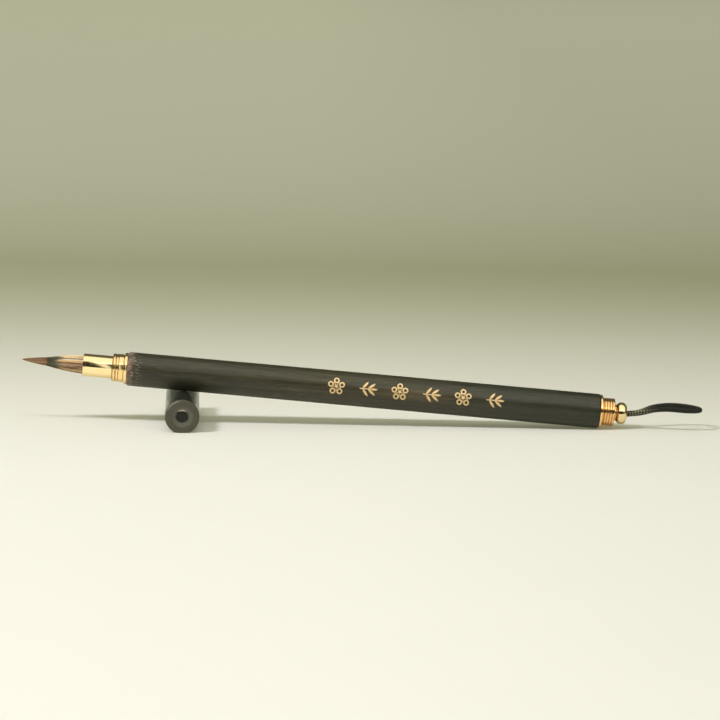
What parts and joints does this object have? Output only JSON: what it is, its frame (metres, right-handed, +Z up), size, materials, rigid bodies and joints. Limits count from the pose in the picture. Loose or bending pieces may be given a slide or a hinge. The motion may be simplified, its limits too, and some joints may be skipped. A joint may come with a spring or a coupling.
{
  "type": "calligraphy brush",
  "caption": "Fine-point calligraphy brush with a dark wood handle, ringed brass collars, screw-in hair head, hanging loop and a pull-off cap that doubles as a rest.",
  "frame": {"origin": "on the table, on the cap's flat foot, under the point where the handle crosses the cap", "axes": "+X along the table under the handle towards its tail, +Z up, +Y away from the closed end of the cap"},
  "size_m": [0.217, 0.0417, 0.0226],
  "materials": {
    "ebony": "dark brown-black hardwood, hand waxed, low satin sheen",
    "gilt": "gold leaf paint pressed into the engraving, slightly grainy",
    "polished_brass": "mirror-polished lacquered brass",
    "ring_brass": "turned and polished brass, darker in the grooves",
    "resin": "set rosin glue",
    "silk_thread": "fine waxed silk thread",
    "hair_brown": "reddish brown weasel hair at the tip",
    "hair_dark": "greenish black rabbit hair",
    "hair_gold": "golden tan hair with pale and dark streaks",
    "braided_cord": "black braided nylon cord with pale flecks",
    "cap_wood": "black-stained hardwood, dull wax sheen"
  },
  "bodies": {
    "brush_handle": {"handle": "ebony", "gilt_ornament": "gilt", "head_collar": "ring_brass", "tail_collar": "ring_brass"},
    "head_screw": {"root_glue": "resin"},
    "head": {"ferrule": "polished_brass", "root_binding": "silk_thread", "hair_core": "hair_brown", "hair_belly": "hair_dark", "hair_mantle": "hair_gold"},
    "tail_screw": {"cord_loop": "braided_cord", "cord_knot": "braided_cord"},
    "tail_bead": {"finial": "polished_brass"},
    "cap": {"cap": "cap_wood", "cap_liner": "ring_brass"}
  },
  "joints": [
    {"name": "cap_slide", "type": "slide", "parent": "brush_handle", "child": "cap", "axis": [0.0279, -0.9996, 0], "range_m": [0, 0.06]},
    {"name": "head_travel", "type": "slide", "parent": "brush_handle", "child": "head_screw", "axis": [-0.9969, 0, 0.0781], "range_m": [0, 0.0052]},
    {"name": "head_turn", "type": "hinge", "parent": "head_screw", "child": "head", "pos_m": [-0.02652, 0, 0.01795], "axis": [-0.9969, 0, 0.0781], "range_deg": [0, 1873]},
    {"name": "tail_travel", "type": "slide", "parent": "brush_handle", "child": "tail_screw", "axis": [0.9969, 0, -0.0781], "range_m": [0, 0.0043]},
    {"name": "tail_turn", "type": "hinge", "parent": "tail_screw", "child": "tail_bead", "pos_m": [0.13979, 0, 0.00492], "axis": [0.9969, 0, -0.0781], "range_deg": [0, 1549]}
  ],
  "couplings": [
    {"joint": "head_turn", "follows": "head_travel", "rad_per_m": 6283.2},
    {"joint": "tail_turn", "follows": "tail_travel", "rad_per_m": 6283.2}
  ]
}
